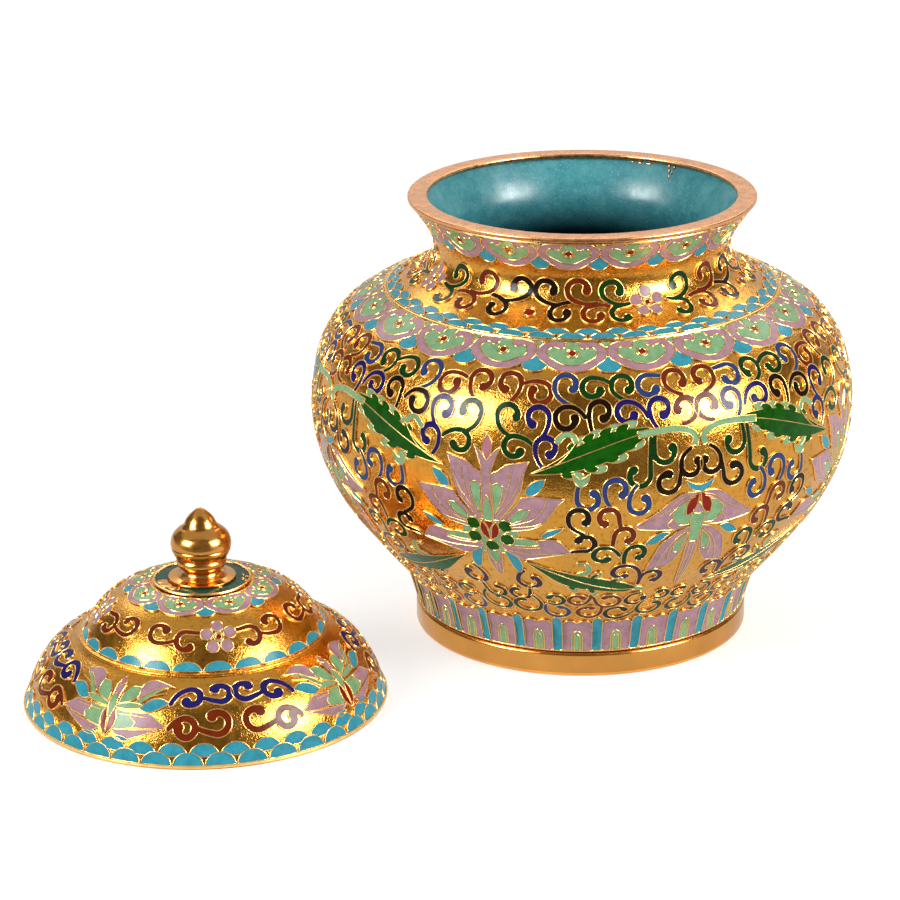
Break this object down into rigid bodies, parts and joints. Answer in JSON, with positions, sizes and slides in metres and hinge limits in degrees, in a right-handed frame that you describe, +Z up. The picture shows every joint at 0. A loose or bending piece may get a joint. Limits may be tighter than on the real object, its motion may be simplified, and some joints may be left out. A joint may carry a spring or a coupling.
{
  "type": "champleve ginger jar with lid",
  "caption": "Gilt and enamelled ginger jar, open at a flared mouth ring, with its two-tier domed lid and turned finial set down beside it.",
  "frame": {"origin": "on the table, at the bottom centre of the box that holds the jar and the lid beside it", "axes": "+Z up along the jar's axis; +X to the right as pictured, along the box's longest side, from the lid towards the jar"},
  "size_m": [0.2118, 0.1738, 0.1167],
  "materials": {
    "enamelled_gilt": "bright fire-gilt copper ground, finely brushed, with wire-edged cells of glossy enamel",
    "enamel": "glossy fired enamel in turquoise, lilac, mint, green, rust and navy, stoned level with its wires",
    "rose_gilt": "smooth rose-copper gilding, softly polished",
    "polished_gilt": "lathe-turned and gilt, polished, with fine turning lines"
  },
  "bodies": {
    "root": {"jar_body": "enamelled_gilt", "mouth_ring": "rose_gilt", "foot_ring": "polished_gilt", "lid": "enamelled_gilt", "lid_finial": "polished_gilt"}
  },
  "joints": []
}
